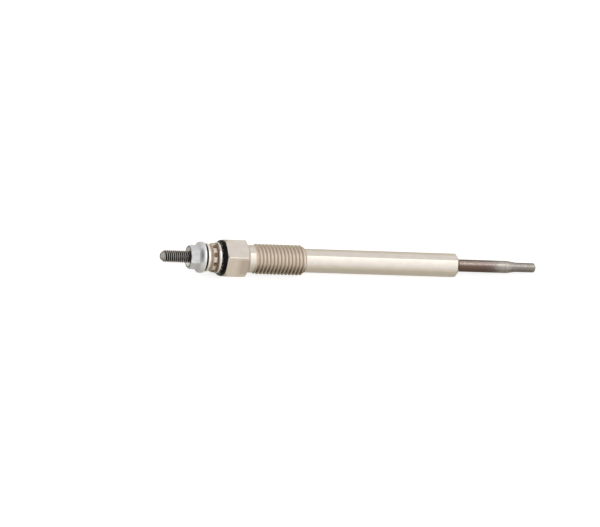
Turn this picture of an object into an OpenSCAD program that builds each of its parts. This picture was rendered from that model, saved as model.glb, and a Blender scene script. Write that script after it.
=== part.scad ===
// Sheathed-element glow plug for a diesel engine, lying along X.
// The tip points to +X, the terminal to -X, and one hexagon flat faces down.
// The origin is on the axis, in the middle of the head thread.

/* [Shell] */
// Major diameter of the head thread
thread_d = 10; // [9.6:0.1:11]
// Length of the head thread at full diameter
thread_l = 16.25; // [12.5:1.25:20]
// Length of the cone that leads into the thread
lead_l = 1.2; // [1:0.1:2.5]
// Step from the small end of the lead cone down to the barrel
lead_step = 0.1; // [0.05:0.05:0.3]
// Diameter of the plain neck between the hexagon and the thread
neck_d = 9; // [8.4:0.1:9.4]
// Length of the neck, up to the first full thread
neck_l = 2.25; // [1.5:0.25:4]
// Diameter of the barrel
barrel_d = 7.8; // [7.2:0.1:8.4]
// Length of the barrel, up to the seat cone
barrel_l = 52.8; // [40:0.1:70]
// Angle of the seat cone to the axis
seat_angle = 52; // [35:1:60]
// Width of the flat ring between the seat cone and the glow tube
seat_land = 0.3; // [0.15:0.05:0.6]
// Diameter of the bore around the terminal rod
shell_bore_d = 5.2; // [4.8:0.1:5.6]

/* [Hexagon] */
// Width across the flats
hex_af = 12; // [11.5:0.5:14]
// Length of the hexagon with its chamfers
hex_l = 8.4; // [7:0.05:12]
// How far the terminal face's rim lies inside the flats
hex_rim_inset = 0.15; // [0.05:0.05:0.5]
// Chamfer of the corners at the terminal end, from the end face
hex_chamfer_angle = 30; // [15:1:45]
// Angle of the shoulder cone to the axis, at the neck
shoulder_angle = 58; // [45:1:65]

/* [Terminal stud] */
// Major diameter of the terminal thread
stud_d = 4; // [3.6:0.1:4.4]
// Length of stud that stands out of the nut, with its point
stud_free_l = 9.5; // [6:0.1:14]
// Length of the conical point
stud_point_l = 1.4; // [0.5:0.1:2]
// Diameter of the small end of the point
stud_point_d = 2; // [1:0.1:2.5]
// Diameter of the rod inside the barrel
rod_d = 3.2; // [2.8:0.1:3.5]

/* [Terminal nut] */
// Width across the flats
nut_af = 7; // [6.5:0.5:8]
// Height of the whole nut
nut_h = 5.2; // [4.5:0.1:7]
// Height of the flange at the nut's foot
nut_flange_h = 2.3; // [2.2:0.1:3.5]
// Diameter of the flange
nut_flange_d = 10.2; // [9.6:0.1:11.5]
// Diameter of the flange's bearing face
nut_foot_d = 9.3; // [8.4:0.1:9.5]
// Radius of the flange's upper edge
nut_edge_r = 0.5; // [0.2:0.1:0.7]
// Height of the flange's sloping upper face with its edge
nut_slope_h = 0.8; // [0.7:0.1:1.2]
// Width of the flat rim around the countersink
nut_rim_w = 0.05; // [0.05:0.05:0.2]
// Diameter of the countersink at the outer end
nut_countersink_d = 6.8; // [5.2:0.1:6.8]
// Gap for the cable eyelet between the nut and the round nut
eyelet_gap = 0.5; // [0.3:0.1:0.9]

/* [Round nut] */
// Length of the round nut that is crimped on the stud
round_nut_l = 3.7; // [3.3:0.1:5]
// Diameter of its contact ring
ring_d = 9.2; // [8.6:0.1:10]
// Thickness of the contact ring's rim
ring_t = 0.7; // [0.5:0.1:1.1]
// Diameter at the bottom of the crimp groove
waist_d = 7.9; // [7.2:0.1:8.2]
// Diameter of the round bead
bead_d = 9.7; // [9:0.1:10]
// Length of the bead
bead_l = 2.05; // [1.8:0.05:2.4]
// Number of crimp marks
crimp_count = 9; // [6:1:12]
// Distance of the crimp marks from the bottom of the groove
crimp_offset = 0.6; // [0.1:0.05:0.8]
// Width of one crimp mark
crimp_w = 1.8; // [0.8:0.1:1.9]
// Depth of one crimp mark
crimp_depth = 0.45; // [0.2:0.05:0.5]

/* [Insulation] */
// Diameter of the pressure washer
washer_d = 10.2; // [9.6:0.1:11]
// Thickness of the pressure washer
washer_t = 0.8; // [0.4:0.05:1]
// Thickness of the insulating bush's flange
bush_flange_t = 1.5; // [1.2:0.05:2.5]
// Thickness of the flange's rim
bush_rim_t = 0.4; // [0.2:0.1:0.8]
// How far the flange's rim lies inside the hexagon's flats
bush_inset = 0.05; // [0.05:0.05:0.4]
// Length of the bush's spigot in the shell
bush_spigot_l = 3.5; // [2:0.1:5]
// Diameter of the counterbore for the bush and the seal
counterbore_d = 6.8; // [6.2:0.1:7.4]

/* [Heater] */
// Outer diameter of the glow tube
tube_d = 4.1; // [3.7:0.1:4.4]
// Outer diameter of its swaged tip
tip_d = 3.15; // [2.9:0.05:3.4]
// Wall of the glow tube
tube_wall = 0.5; // [0.4:0.05:0.55]
// Thickness of the closed end
tube_end_wall = 0.8; // [0.5:0.1:1.2]
// Length of tube pressed into the barrel
tube_seat_l = 14; // [12:1:20]
// Free length of tube at full diameter
tube_free_l = 17.4; // [12:0.1:24]
// Length of the taper
taper_l = 2.8; // [2:0.1:4]
// Length of the swaged tip
tip_l = 7.1; // [5:0.1:10]
// Radius around the closed end
tip_round = 0.7; // [0.3:0.1:1.2]
// Length of the seal in the mouth of the tube
tube_seal_l = 2.5; // [1.5:0.5:4]
// Length of the terminal rod's pole inside the tube
pole_l = 7; // [5:0.5:9]
// Length of the pin at the end of the pole that holds the coil
pole_pin_l = 2.4; // [1.5:0.1:3.5]
// Insulation between the pole and the tube
pole_cover = 0.4; // [0.3:0.05:0.5]
// Diameter of the coil wire
wire_d = 0.3; // [0.2:0.02:0.36]
// Insulation between the coils and the tube
coil_cover = 0.3; // [0.24:0.02:0.36]
// Turns of the regulating coil
regulating_turns = 15; // [10:1:18]
// Turns of the heating coil
heating_turns = 11; // [7:1:12]
// Length of the straight end that is welded to the tip
coil_lead_l = 0.8; // [0.5:0.1:1.5]
// Length of heating coil that lies before the taper
coil_joint_l = 2.4; // [1.5:0.1:4]

/* [Fits] */
// Radial clearance between round pieces that fit in each other
fit = 0.02; // [0.01:0.01:0.04]

/* [Hidden] */
$fn = 96;

// Radii
thread_r = thread_d / 2;
neck_r = neck_d / 2;
barrel_r = barrel_d / 2;
hex_r = hex_af / sqrt(3);
stud_r = stud_d / 2;
rod_r = rod_d / 2;
tube_r = tube_d / 2;
tip_r = tip_d / 2;
tube_bore_r = tube_r - tube_wall;
tip_bore_r = tip_r - tube_wall;
seat_r = tube_r + seat_land;
lead_r = barrel_r + lead_step;
bush_r = hex_af / 2 - bush_inset;
shell_bore_r = shell_bore_d / 2;
counterbore_r = counterbore_d / 2;
seal_section_r = (counterbore_r - stud_r) / 2 - fit;
pole_r = tube_bore_r - pole_cover;
wire_r = wire_d / 2;
// A cut that goes through a face runs on past it by this much
overcut = 0.1;
// Degrees between the points of a curved outline
curve_step = 15;
// Where the bead's curve ends and where the flange's rounded edge starts, in degrees
bead_end_angle = 150;
edge_start_angle = -60;

// Places along the axis, from the middle of the thread to the terminal
thread_start_x = -thread_l / 2;
neck_x = thread_start_x - neck_l;
hex_x = neck_x - hex_l;
bush_x = hex_x - bush_flange_t;
washer_x = bush_x - washer_t;
round_nut_x = washer_x - round_nut_l;
nut_foot_x = round_nut_x - eyelet_gap;
nut_x = nut_foot_x - nut_h;
stud_x = nut_x - stud_free_l;

// Places along the axis, from the middle of the thread to the tip
thread_end_x = thread_l / 2;
barrel_x = thread_end_x + lead_l;
seat_x = barrel_x + barrel_l;
seat_end_x = seat_x + (barrel_r - seat_r) / tan(seat_angle);
tube_x = seat_end_x - tube_seat_l;
taper_x = seat_end_x + tube_free_l;
tip_x = taper_x + taper_l;
tip_end_x = tip_x + tip_l;
tube_floor_x = tip_end_x - tube_end_wall;

// Places inside the shell and the tube
spigot_end_x = hex_x + bush_spigot_l;
counterbore_end_x = spigot_end_x + 2 * (seal_section_r + fit);
pole_x = tube_x - (rod_r - pole_r);
pole_end_x = tube_x + pole_l;
pole_pin_end_x = pole_end_x + pole_pin_l;
fill_x = tube_x + tube_seal_l;

// The coils: one wire path, cut in two where the coils are welded together
turn_steps = 12;
wire_sides = 6;
regulating_r = tube_bore_r - coil_cover - wire_r;
heating_r = tip_bore_r - coil_cover - wire_r;
coil_x = pole_end_x + wire_d;
joint_x = taper_x - coil_joint_l;
coil_end_x = tube_floor_x - coil_lead_l;
regulating_steps = regulating_turns * turn_steps;
heating_steps = heating_turns * turn_steps;
path_steps = regulating_steps + heating_steps;
// The turns are polygons, so the pin stays inside the middle of their sides
pole_pin_r = regulating_r * cos(180 / turn_steps) - wire_r - fit;

// A value that goes smoothly from a to b as t goes from 0 to 1
function ease(a, b, t) = a + (b - a) * (3 - 2 * t) * t * t;

// Radius of the winding at a step: it narrows over the last turn of each coil
function winding_r(i) =
    i <= regulating_steps
        ? ease(regulating_r, heating_r, max(0, 1 - (regulating_steps - i) / turn_steps))
        : ease(heating_r, 0, max(0, 1 - (path_steps - i) / turn_steps));

// Place of a step along the axis
function winding_x(i) =
    i <= regulating_steps
        ? coil_x + (joint_x - coil_x) * i / regulating_steps
        : joint_x + (coil_end_x - joint_x) * (i - regulating_steps) / heating_steps;

// Outward direction of the winding at a step
function winding_out(i) = [0, cos(360 * i / turn_steps), sin(360 * i / turn_steps)];

// A point of the wire's middle line. The step after the last one is the lead's end.
function wire_point(i, lead_end_x) =
    i > path_steps
        ? [lead_end_x, 0, 0]
        : [winding_x(i), 0, 0] + winding_r(i) * winding_out(i);

function unit(v) = v / norm(v);

// Direction of the wire at a step
function wire_way(i, lead_end_x) =
    i >= path_steps
        ? [1, 0, 0]
        : unit(wire_point(i + 1, lead_end_x) - wire_point(max(i - 1, 0), lead_end_x));

// One ring of points around the wire at a step
function wire_ring(i, r, lead_end_x) =
    let (way = wire_way(i, lead_end_x))
    let (side = unit(cross(way, winding_out(i))))
    let (out = cross(side, way))
    [
        for (k = [0 : wire_sides - 1])
            wire_point(i, lead_end_x)
                + r * cos(360 * k / wire_sides) * out
                + r * sin(360 * k / wire_sides) * side
    ];

// A stretch of the wire from one step to another, as one closed solid
module wire(first, last, r, lead_end_x) {
    rings = last - first + 1;
    points = [for (i = [first : last]) each wire_ring(i, r, lead_end_x)];
    sides = [
        for (i = [0 : rings - 2])
            for (k = [0 : wire_sides - 1])
                let (a = i * wire_sides + k)
                let (b = i * wire_sides + (k + 1) % wire_sides)
                each [[a, b + wire_sides, b], [a, a + wire_sides, b + wire_sides]]
    ];
    start_cap = [for (k = [0 : wire_sides - 1]) k];
    end_cap = [for (k = [wire_sides - 1 : -1 : 0]) (rings - 1) * wire_sides + k];
    polyhedron(points, concat(sides, [start_cap, end_cap]));
}

// Points of an arc in an outline of [radius, x]
function arc(centre, r, from, to) = [
    for (a = [from : curve_step : to]) centre + r * [cos(a), sin(a)]
];

// A solid turned around the axis, from an outline of [radius, x]
module turned(outline) {
    rotate([0, 90, 0]) rotate_extrude() polygon(outline);
}

// A straight hole or rod along the axis
module round_bar(r, from, to) {
    translate([from, 0, 0]) rotate([0, 90, 0]) cylinder(r = r, h = to - from);
}

// A six-sided bar along the axis. Turned by 30 degrees, it has flats above and below.
module hex_bar(r, from, to, turn) {
    translate([from, 0, 0]) rotate([0, 90, 0]) rotate([0, 0, turn])
        cylinder(r = r, h = to - from, $fn = 6);
}

// Turned steel shell: hexagon, neck, head thread, barrel and seat cone
module body_shell() {
    rim_r = hex_af / 2 - hex_rim_inset;
    blank_r = hex_r + overcut;
    chamfer_l = (blank_r - rim_r) * tan(hex_chamfer_angle);
    shoulder_l = (blank_r - neck_r) / tan(shoulder_angle);
    color([0.80, 0.77, 0.72]) difference() {
        union() {
            intersection() {
                hex_bar(hex_r, hex_x, neck_x, 30);
                turned([
                    [0, hex_x], [rim_r, hex_x], [blank_r, hex_x + chamfer_l],
                    [blank_r, neck_x - shoulder_l], [neck_r, neck_x], [0, neck_x]
                ]);
            }
            turned([
                [0, neck_x - overcut], [neck_r, neck_x - overcut],
                [neck_r, thread_start_x - (thread_r - neck_r)],
                [thread_r, thread_start_x], [thread_r, thread_end_x],
                [lead_r, barrel_x], [barrel_r, barrel_x],
                [barrel_r, seat_x], [seat_r, seat_end_x], [0, seat_end_x]
            ]);
        }
        round_bar(counterbore_r, hex_x - overcut, counterbore_end_x);
        round_bar(shell_bore_r, counterbore_end_x - overcut, tube_x);
        round_bar(tube_r + fit, tube_x - overcut, seat_end_x + overcut);
    }
}

// Threaded terminal stud, rod and pole in one turned piece
module terminal_stud() {
    shank_end_x = counterbore_end_x;
    color([0.36, 0.36, 0.37]) turned([
        [0, stud_x], [stud_point_d / 2, stud_x], [stud_r, stud_x + stud_point_l],
        [stud_r, shank_end_x], [rod_r, shank_end_x + stud_r - rod_r],
        [rod_r, pole_x - (rod_r - pole_r)], [pole_r, pole_x],
        [pole_r, pole_end_x], [pole_pin_r, pole_end_x],
        [pole_pin_r, pole_pin_end_x], [0, pole_pin_end_x]
    ]);
}

// Flanged hexagon nut on the terminal thread
module terminal_nut() {
    corner_r = nut_af / sqrt(3);
    end_r = nut_countersink_d / 2 + nut_rim_w;
    chamfer_l = (corner_r - end_r) * tan(hex_chamfer_angle);
    flange_r = nut_flange_d / 2;
    foot_r = nut_foot_d / 2;
    flange_x = nut_foot_x - nut_flange_h;
    foot_round = flange_r - foot_r;
    countersink_l = nut_countersink_d / 2 - stud_r;
    color([0.80, 0.81, 0.83]) difference() {
        union() {
            intersection() {
                hex_bar(corner_r, nut_x, nut_foot_x - foot_round, 0);
                turned([
                    [0, nut_x], [end_r, nut_x], [corner_r, nut_x + chamfer_l],
                    [corner_r, nut_foot_x], [0, nut_foot_x]
                ]);
            }
            turned(concat(
                [[0, flange_x], [nut_af / 2, flange_x]],
                arc([flange_r - nut_edge_r, flange_x + nut_slope_h], nut_edge_r, edge_start_angle, 0),
                arc([foot_r, nut_foot_x - foot_round], foot_round, 0, 90),
                [[0, nut_foot_x]]
            ));
        }
        round_bar(stud_r + fit, nut_x - overcut, nut_foot_x + overcut);
        turned([
            [0, nut_x - overcut], [nut_countersink_d / 2 + overcut, nut_x - overcut],
            [stud_r, nut_x + countersink_l], [0, nut_x + countersink_l]
        ]);
    }
}

// Round nut that is crimped on the stud and carries the contact ring
module round_nut() {
    ring_r = ring_d / 2;
    waist_r = waist_d / 2;
    bead_r = bead_d / 2;
    bead_x = washer_x - bead_l;
    bead_rise = bead_r - waist_r;
    crimp_r = (crimp_w * crimp_w / 4 + crimp_depth * crimp_depth) / (2 * crimp_depth);
    crimp_x = bead_x + crimp_offset;
    crimp_foot_r = waist_r + bead_rise * sin(acos(1 - 2 * crimp_offset / bead_l)) - crimp_depth;
    color([0.82, 0.77, 0.69]) difference() {
        turned(concat(
            [
                [stud_r + fit, round_nut_x], [ring_r, round_nut_x],
                [ring_r, round_nut_x + ring_t], [waist_r, bead_x]
            ],
            [
                for (a = [curve_step : curve_step : bead_end_angle])
                    [waist_r + bead_rise * sin(a), bead_x + bead_l * (1 - cos(a)) / 2]
            ],
            [[waist_r + bead_rise / 2, washer_x], [stud_r + fit, washer_x]]
        ));
        for (k = [0 : crimp_count - 1])
            rotate([360 * (k + 0.5) / crimp_count, 0, 0])
                translate([crimp_x, 0, crimp_foot_r + crimp_r])
                    sphere(r = crimp_r);
    }
}

// Thin washer between the round nut and the bush
module pressure_washer() {
    color([0.84, 0.80, 0.73]) turned([
        [stud_r + fit, washer_x], [washer_d / 2, washer_x],
        [washer_d / 2, bush_x], [stud_r + fit, bush_x]
    ]);
}

// Black moulded bush that keeps the stud clear of the shell
module insulating_bush() {
    face_r = washer_d / 2;
    round_t = bush_flange_t - bush_rim_t;
    color([0.06, 0.06, 0.06]) turned(concat(
        [[stud_r + fit, bush_x], [face_r, bush_x]],
        [
            for (a = [curve_step : curve_step : 90])
                [face_r + (bush_r - face_r) * sin(a), bush_x + round_t * (1 - cos(a))]
        ],
        [
            [bush_r, hex_x], [counterbore_r - fit, hex_x],
            [counterbore_r - fit, spigot_end_x], [stud_r + fit, spigot_end_x]
        ]
    ));
}

// Rubber ring that seals the stud in the shell
module head_seal() {
    color([0.10, 0.10, 0.10]) translate([spigot_end_x + seal_section_r + fit, 0, 0])
        rotate([0, 90, 0]) rotate_extrude()
            translate([stud_r + fit + seal_section_r, 0]) circle(r = seal_section_r);
}

// Sheath with a swaged, closed tip
module glow_tube() {
    color([0.42, 0.36, 0.31]) turned(concat(
        [[tube_bore_r, tube_x], [tube_r, tube_x], [tube_r, taper_x], [tip_r, tip_x]],
        arc([tip_r - tip_round, tip_end_x - tip_round], tip_round, 0, 90),
        [
            [0, tip_end_x], [0, tube_floor_x], [tip_bore_r, tube_floor_x],
            [tip_bore_r, tip_x], [tube_bore_r, taper_x]
        ]
    ));
}

// Ring that closes the mouth of the tube around the pole
module tube_seal() {
    color([0.16, 0.16, 0.17]) turned([
        [pole_r + fit, tube_x], [tube_bore_r - fit, tube_x],
        [tube_bore_r - fit, fill_x], [pole_r + fit, fill_x]
    ]);
}

// Pressed magnesia powder around the pole and the coils
module magnesia_fill() {
    socket_r = regulating_r + wire_r + fit;
    color([0.88, 0.86, 0.82]) difference() {
        turned([
            [0, fill_x], [tube_bore_r - fit, fill_x], [tube_bore_r - fit, taper_x - fit],
            [tip_bore_r - fit, tip_x - fit], [tip_bore_r - fit, tube_floor_x], [0, tube_floor_x]
        ]);
        round_bar(pole_r + fit, fill_x - overcut, pole_end_x);
        round_bar(socket_r, pole_end_x - overcut, pole_pin_end_x + fit);
        wire(0, path_steps + 1, wire_r + fit, tube_floor_x + overcut);
    }
}

// Coil whose resistance rises as it warms, and limits the current
module regulating_coil() {
    color([0.62, 0.60, 0.58]) wire(0, regulating_steps, wire_r, tube_floor_x);
}

// Coil that heats the tip, welded to the end of the tube
module heating_coil() {
    color([0.66, 0.58, 0.50]) wire(regulating_steps, path_steps + 1, wire_r, tube_floor_x);
}

body_shell();
terminal_stud();
terminal_nut();
round_nut();
pressure_washer();
insulating_bush();
head_seal();
glow_tube();
tube_seal();
magnesia_fill();
regulating_coil();
heating_coil();
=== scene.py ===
"""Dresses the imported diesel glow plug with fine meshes, procedural finishes and a pale studio."""

import math

import bmesh
import bpy
import numpy as np
from mathutils import Matrix, Vector


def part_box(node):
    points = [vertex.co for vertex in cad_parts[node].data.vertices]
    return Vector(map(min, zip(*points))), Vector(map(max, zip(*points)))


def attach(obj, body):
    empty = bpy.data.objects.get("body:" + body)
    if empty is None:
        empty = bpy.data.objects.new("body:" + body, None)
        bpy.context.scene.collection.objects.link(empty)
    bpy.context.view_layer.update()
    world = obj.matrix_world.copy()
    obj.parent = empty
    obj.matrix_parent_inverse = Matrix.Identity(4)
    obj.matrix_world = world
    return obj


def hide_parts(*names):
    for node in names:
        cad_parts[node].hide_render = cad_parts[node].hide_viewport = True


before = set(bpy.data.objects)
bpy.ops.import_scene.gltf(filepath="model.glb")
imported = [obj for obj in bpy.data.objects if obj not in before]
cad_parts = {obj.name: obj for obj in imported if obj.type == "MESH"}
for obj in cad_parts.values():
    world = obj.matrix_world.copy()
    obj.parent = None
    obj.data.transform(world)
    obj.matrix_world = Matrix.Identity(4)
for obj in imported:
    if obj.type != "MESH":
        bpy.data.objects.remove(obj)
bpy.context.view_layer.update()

bl_info = {
    "name": "Diesel glow plug",
    "version": (1, 0, 0),
    "blender": (4, 5, 0),
    "location": "View3D > Sidebar > Glow plug",
    "description": "Builds the dressed glow plug around its packed solids",
    "category": "Object",
}

BODY = "root"
FULL_TURN = 2 * math.pi
WHITE = (1.0, 1.0, 1.0)
# Flats of a hexagon, and the turn from one to the next
FLATS = 6
FLAT_STEP = FULL_TURN / FLATS
# Points closer together than this are one point of the mesh
WELD = 1e-6
# Faces thinner than this are dissolved
SLIVER = WELD / 10
# Points that round off one corner of a turned outline
CORNER_POINTS = 5
# Edges that turn by more than this are shown sharp
SHARP_ANGLE = math.radians(38)
# Shares of a thread's pitch from the middle of the crest to the ends of its flank
CREST_EDGE = 1 / 16
ROOT_EDGE = 3 / 8
THREAD_ROWS = 16
# Share of an outline's side that a rounded corner may take
CORNER_SHARE = 0.45
# Edges between a hexagon's flats turn by more than this
FLAT_TURN = math.radians(40)
# Rows of faces and profile of the rounding of those edges
FLAT_ROWS = 2
FLAT_PROFILE = 0.5
# Share of a crimp mark's depth at which its painted shade is full
FULL_MARK = 0.5
# Features per metre of a noise that has one per millimetre
PER_MM = 1000.0
# Span in which most values of a noise lie
GRAIN = (0.3, 0.7)
# Features per millimetre of the clouds in a plating, and the span of the noise in which they change
CLOUD_SCALE = (0.35, 0.5, 0.5)
CLOUDS = (0.35, 0.65)


def length(name, default, description):
    """A size in metres that a user may change."""
    return bpy.props.FloatProperty(
        name=name, description=description, default=default, precision=5, subtype="DISTANCE", unit="LENGTH"
    )


def turn(name, degrees, description):
    """An angle that a user may change."""
    return bpy.props.FloatProperty(
        name=name, description=description, default=math.radians(degrees), subtype="ANGLE", unit="ROTATION"
    )


def tint(name, default, description):
    """A colour that a user may change."""
    return bpy.props.FloatVectorProperty(
        name=name, description=description, default=default, size=3, min=0, max=1, subtype="COLOR"
    )


def level(name, default, description, highest=1.0):
    """A plain number from nothing to the highest that fits."""
    return bpy.props.FloatProperty(name=name, description=description, default=default, min=0, max=highest)


def count(name, default, description):
    """A whole number that a user may change."""
    return bpy.props.IntProperty(name=name, description=description, default=default, min=3)


class ShellSizes(bpy.types.PropertyGroup):
    """Sizes of the plated shell that its solid's box doesn't give."""

    columns: count("Columns", 120, "Points around the shell, a multiple of six")
    rim_inset: length("Rim inset", 0.00015, "How far the end face's rim lies inside the flats")
    chamfer_angle: turn("Chamfer", 30, "Chamfer of the hexagon's corners, from the end face")
    shoulder_angle: turn("Shoulder", 58, "Angle of the shoulder cone to the axis")
    edge: length("Edge", 0.00005, "Rounding of the shell's edges")
    stain_turn: turn("Stained flat", 150, "Flat of the hexagon with a faint stain, from +Y towards +Z")
    stain_core: turn("Stain core", 20, "How far to each side of the flat's middle the stain is full")
    stain_x: length("Stain place", -0.0155, "Where along the flat the stain begins to thicken")
    stain_full_x: length("Full stain place", -0.0135, "Where along the flat the stain is full")
    stain_least: level("Least stain", 0.12, "Strength of the stain before it thickens")
    neck_x: length("Neck place", -0.010375, "Where the shoulder cone meets the neck")
    neck_d: length("Neck diameter", 0.009, "Diameter of the plain neck")
    thread_x: length("Thread place", -0.008625, "Where the thread rises out of the neck")
    thread_d: length("Thread diameter", 0.00995, "Diameter over the crests")
    thread_root_d: length("Thread root diameter", 0.00847, "Diameter in the roots")
    thread_pitch: length("Thread pitch", 0.00125, "Distance from crest to crest")
    thread_fade: length("Thread fade", 0.0013, "Length over which the thread comes to full depth")
    # Painted shade: the thread's roots are darkened on one side
    root_shade_turn: turn("Grease side", 215, "Side of the thread with old grease, from +Y towards +Z")
    root_shade_reach: turn("Grease reach", 72.5, "How far around the thread the grease reaches to each side")
    root_shade_core: turn("Grease core", 26, "How far around the thread it is thick")
    thread_dulling: level("Thread dulling", 0.3, "How much rougher the thread is than the barrel")
    lead_x: length("Lead place", 0.008125, "Where the cone that leads into the thread begins")
    lead_d: length("Lead diameter", 0.008, "Diameter of the cone's small end")
    barrel_x: length("Barrel place", 0.009325, "Where the barrel begins")
    barrel_d: length("Barrel diameter", 0.0078, "Diameter of the barrel")
    barrel_rows: count("Barrel rows", 24, "Rows of faces along the barrel")
    seat_x: length("Seat place", 0.062125, "Where the seat cone begins")
    seat_d: length("Seat diameter", 0.0047, "Diameter of the seat cone's small end")
    tube_bore_d: length("Tube bore", 0.00414, "Diameter of the bore around the glow tube")
    bore_d: length("Rod bore", 0.0052, "Diameter of the bore around the terminal rod")
    counterbore_d: length("Counterbore", 0.0068, "Diameter of the counterbore for the bush")
    counterbore_x: length("Counterbore end", -0.013875, "Where the counterbore ends")


class TerminalSizes(bpy.types.PropertyGroup):
    """Sizes of the stud, the nut on it and the round nut."""

    stud_columns: count("Stud columns", 64, "Points around the stud, an even number")
    stud_d: length("Stud diameter", 0.004, "Diameter over the crests")
    stud_root_d: length("Stud root diameter", 0.00306, "Diameter in the roots")
    stud_pitch: length("Stud pitch", 0.0007, "Distance from crest to crest")
    point_d: length("Point diameter", 0.002, "Diameter of the small end of the point")
    point_l: length("Point length", 0.0014, "Length of the conical point")
    point_edge: length("Point edge", 0.0004, "Rounding of the point")
    thread_end_x: length("Thread end", -0.0205, "Where the thread ends, under the round nut")
    shank_end_x: length("Shank end", -0.013875, "Where the shank steps down to the rod")
    rod_d: length("Rod diameter", 0.0032, "Diameter of the rod in the barrel")
    pole_x: length("Pole place", 0.048886, "Where the rod has stepped down to the pole")
    pole_d: length("Pole diameter", 0.0023, "Diameter of the pole in the tube")
    pole_end_x: length("Pole end", 0.056336, "Where the pole steps down to its pin")
    pin_d: length("Pin diameter", 0.00178, "Diameter of the pin that holds the coil")
    nut_columns: count("Nut columns", 96, "Points around the nut, a multiple of twelve")
    nut_af: length("Nut width", 0.007, "Width across the nut's flats")
    nut_bore_d: length("Nut bore", 0.00404, "Diameter of the nut's bore")
    countersink_d: length("Countersink", 0.0068, "Diameter of the nut's countersink")
    nut_rim: length("Nut rim", 0.00005, "Width of the rim around the countersink")
    flange_h: length("Flange height", 0.0023, "Height of the nut's flange")
    flange_edge: length("Flange edge", 0.0005, "Radius of the flange's upper edge")
    flange_turn: turn("Flange edge turn", 60, "Where on its arc the flange's rounded edge begins")
    slope_h: length("Slope height", 0.0008, "Height of the flange's sloping face with its edge")
    foot_d: length("Foot diameter", 0.0093, "Diameter of the flange's bearing face")
    nut_edge: length("Nut edges", 0.00015, "Rounding of the nut's edges")
    # Painted reflection: a dark line around the countersink's rim, for the dark that its edge reflects
    rim_shade_line: length("Rim line", 0.00025, "Width of the dark line around the countersink")
    # Painted shadow: a dark band at the nut's foot, where the gap to the round nut lies in shade
    foot_shadow_w: length("Shadow width", 0.0004, "Width of the dark shadow at the nut's foot")
    # Painted highlight: a bright band beside the shadow at the nut's foot
    highlight_w: length("Bright rim", 0.0009, "Width of the bright rim beside that shadow")
    slope_shade: level("Slope shade", 0.04, "Strength of the shade on the flange's sloping face")
    front_shade: level("Front shade", 0.68, "What is added to that shade on one side")
    front_turn: turn("Front shade side", 112, "Middle of that side, from +Y towards +Z")
    front_reach: turn("Front shade reach", 32, "How far that side reaches around the flange")
    polish: level("Polish", 0.3, "Roughness of the nut's bright places")
    round_columns: count("Round nut columns", 240, "Points around the round nut")
    ring_d: length("Ring diameter", 0.0092, "Diameter of the contact ring")
    ring_t: length("Ring rim", 0.0007, "Thickness of the contact ring's rim")
    waist_d: length("Waist", 0.0079, "Diameter at the bottom of the groove")
    bead_l: length("Bead length", 0.00205, "Length of the round bead")
    bead_turn: turn("Bead turn", 150, "How far the bead's round goes before its end face")
    bead_rows: count("Bead rows", 40, "Rows of faces along the bead")
    # Painted shade: a brown band on the bead's side that faces the washer
    band_from: level("Band start", 0.35, "Share of the bead at which its brown band begins")
    band_to: level("Band end", 0.95, "Share of the bead at which its brown band ends")
    band_shade: level("Band stain", 0.95, "Strength of that band")
    crimp_count: count("Crimp marks", 9, "Number of crimp marks")
    crimp_w: length("Mark width", 0.0018, "Width of one crimp mark")
    crimp_depth: length("Mark depth", 0.00045, "Depth of one crimp mark")
    crimp_offset: length("Mark offset", 0.0006, "Distance of the marks from the bottom of the groove")


class InsulationSizes(bpy.types.PropertyGroup):
    """Sizes of the washer and the black bush."""

    columns: count("Columns", 120, "Points around the washer and the bush")
    bore_d: length("Bore", 0.00404, "Diameter of the bore around the stud")
    washer_edge: length("Washer edge", 0.00012, "Rounding of the washer's edges")
    rim_t: length("Flange rim", 0.0004, "Thickness of the bush's rim")
    face_d: length("Flange face", 0.0102, "Diameter of the bush's end face")
    spigot_d: length("Spigot", 0.00676, "Diameter of the spigot in the shell")
    flange_t: length("Flange", 0.0015, "Thickness of the bush's flange")
    edge: length("Edge", 0.0001, "Rounding of the bush's edges")
    # Painted glints: pale specks on the outermost part of the bush's rounded rim
    glint_w: length("Glinting rim", 0.0003, "Width of the scuffed part of the bush's rounded rim")


class TubeSizes(bpy.types.PropertyGroup):
    """Sizes of the glow tube that its solid's box doesn't give."""

    columns: count("Columns", 80, "Points around the tube")
    wall: length("Wall", 0.0005, "Wall of the tube")
    end_wall: length("End wall", 0.0008, "Thickness of the closed end")
    taper_x: length("Taper place", 0.080736, "Where the taper begins")
    tip_x: length("Tip place", 0.083536, "Where the taper has come down to the tip")
    tip_d: length("Tip diameter", 0.00315, "Diameter of the swaged tip")
    tip_round: length("Tip rounding", 0.0007, "Radius around the closed end")
    taper_edge: length("Taper edge", 0.0009, "Length over which the taper bends in and out")
    rows: count("Rows", 30, "Rows of faces along the tube")
    die_w: length("Die line", 0.0004, "Width of the dark line that the swaging die left before the taper")
    die_shade: level("Die shade", 0.28, "Strength of that line")
    # Painted highlight: a paler streak along one side of the tube
    highlight_turn: turn("Highlight side", 92, "Side along which the tint is rubbed lighter, from +Y towards +Z")
    highlight_span: bpy.props.FloatVectorProperty(
        name="Highlight span", description="Shares of the free tube between which the streak weakens",
        default=(0.45, 0.7), size=2
    )
    highlight_tip: level("Highlight tip", 0.75, "Strength of the streak on the tip")
    highlight_reach: turn("Highlight reach", 33, "How far around the tube the rubbed streak reaches to each side")


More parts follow.
